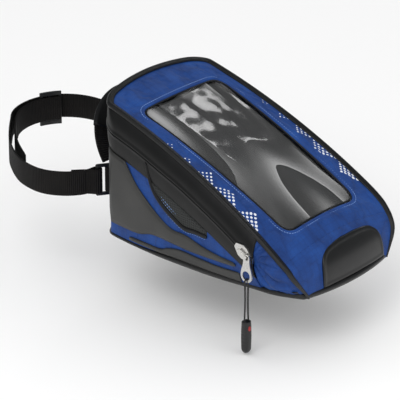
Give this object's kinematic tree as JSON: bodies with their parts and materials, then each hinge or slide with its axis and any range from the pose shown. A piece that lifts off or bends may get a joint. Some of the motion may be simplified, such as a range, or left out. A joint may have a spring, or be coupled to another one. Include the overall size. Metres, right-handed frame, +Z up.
{
  "type": "motorcycle tank bag",
  "caption": "Wedge-shaped strap-on motorcycle tank bag with zipped hinged lid, clear map window, cord zip pull, neck strap, carry handle and side pockets.",
  "frame": {"origin": "centre of the base footprint on its underside, in the plane that rests on the fuel tank", "axes": "+Z up from the tank, +Y towards the handlebars (tall end and neck strap), +X to the rider's right"},
  "size_m": [0.1848, 0.4168, 0.1987],
  "materials": {
    "base_rubber": "matte, fine grip texture",
    "board": "smooth",
    "foam": "closed-cell foam",
    "magnet": "plated",
    "lining": "plain weave",
    "piping": "satin, woven edge",
    "blue_fabric": "ripstop polyester, faint sheen",
    "patch_rubber": "satin, embossed border",
    "zip_tape": "coated, smooth satin",
    "zip_coil": "ribbed",
    "zip_metal": "nickel plated casting",
    "grey_overlay": "coated, fine grain",
    "mesh": "open mesh",
    "webbing": "ribbed weave",
    "clear_film": "glossy, wrinkled",
    "binding": "satin",
    "card": "paper",
    "pocket_cloth": "matt woven",
    "cord": "braided",
    "grip_plastic": "moulded, satin",
    "buckle_plastic": "moulded acetal"
  },
  "bodies": {
    "bag": {"base_panel": "base_rubber", "base_board": "board", "base_pad": "foam", "base_magnets": "magnet", "floor_lining": "lining", "base_piping": "piping", "side_panel_left": "blue_fabric", "side_panel_right": "blue_fabric", "gusset_left": "blue_fabric", "gusset_right": "blue_fabric", "tall_panel": "blue_fabric", "nose_panel": "blue_fabric", "nose_patch": "patch_rubber", "nose_piping_left": "piping", "nose_piping_right": "piping", "zip_tape_lower": "zip_tape", "zip_coil_lower": "zip_coil", "zip_stop_left": "zip_metal", "zip_stop_right": "zip_metal", "wing_left": "grey_overlay", "wing_right": "grey_overlay", "mesh_pocket_left": "mesh", "mesh_pocket_right": "mesh", "pocket_trim_left": "grey_overlay", "pocket_trim_right": "grey_overlay", "lower_trim_left": "grey_overlay", "lower_trim_right": "grey_overlay", "wall_foam": "foam", "wall_lining": "lining", "anchor_tab_left": "webbing", "anchor_tab_right": "webbing", "handle_tab_left": "webbing", "handle_tab_right": "webbing"},
    "lid": {"lid_panel": "blue_fabric", "lid_foam": "foam", "lid_piping": "piping", "zip_tape_upper": "zip_tape", "zip_coil_upper": "zip_coil", "window_film": "clear_film", "window_binding": "binding", "pocket_frame": "foam", "map_card": "card", "pocket_back": "pocket_cloth"},
    "slider": {"zip_slider": "zip_metal"},
    "puller": {"zip_puller": "zip_metal"},
    "pull_cord": {"puller_cord": "cord", "puller_grip": "grip_plastic"},
    "strap": {"anchor_loop_left": "buckle_plastic", "anchor_loop_right": "buckle_plastic", "neck_strap": "webbing", "strap_tail": "webbing"},
    "glide": {"tri_glide": "buckle_plastic"},
    "handle": {"carry_handle": "webbing"}
  },
  "joints": [
    {"name": "lid_hinge", "type": "hinge", "parent": "bag", "child": "lid", "pos_m": [0, -0.098, 0.053], "axis": [1, 0, 0], "range_deg": [0, 75], "deforming": ["gusset_left", "gusset_right"]},
    {"name": "zip_run", "type": "hinge", "parent": "bag", "child": "slider", "pos_m": [-0.06876, 0.28105, -0.56645], "axis": [-0.9991, 0.043, 0], "range_deg": [0, 7], "deforming": ["puller_cord"]},
    {"name": "puller_swing", "type": "hinge", "parent": "slider", "child": "puller", "pos_m": [-0.08393, -0.07169, 0.03823], "axis": [-0.9991, 0.043, 0], "range_deg": [-50, 50]},
    {"name": "cord_swing", "type": "hinge", "parent": "puller", "child": "pull_cord", "pos_m": [-0.08788, -0.07152, 0.01633], "axis": [0.043, 0.9991, 0], "range_deg": [-5, 60]},
    {"name": "strap_swing", "type": "hinge", "parent": "bag", "child": "strap", "pos_m": [0, 0.1255, 0.0465], "axis": [1, 0, 0], "range_deg": [-20, 15], "deforming": ["anchor_tab_left", "anchor_tab_right"]},
    {"name": "glide_slide", "type": "hinge", "parent": "strap", "child": "glide", "pos_m": [0.012, 0.24, 0.0465], "axis": [0, 0, 1], "range_deg": [-25, 25]},
    {"name": "handle_swing", "type": "hinge", "parent": "bag", "child": "handle", "pos_m": [0, 0.125, 0.0655], "axis": [1, 0, 0], "range_deg": [-40, 26]}
  ]
}
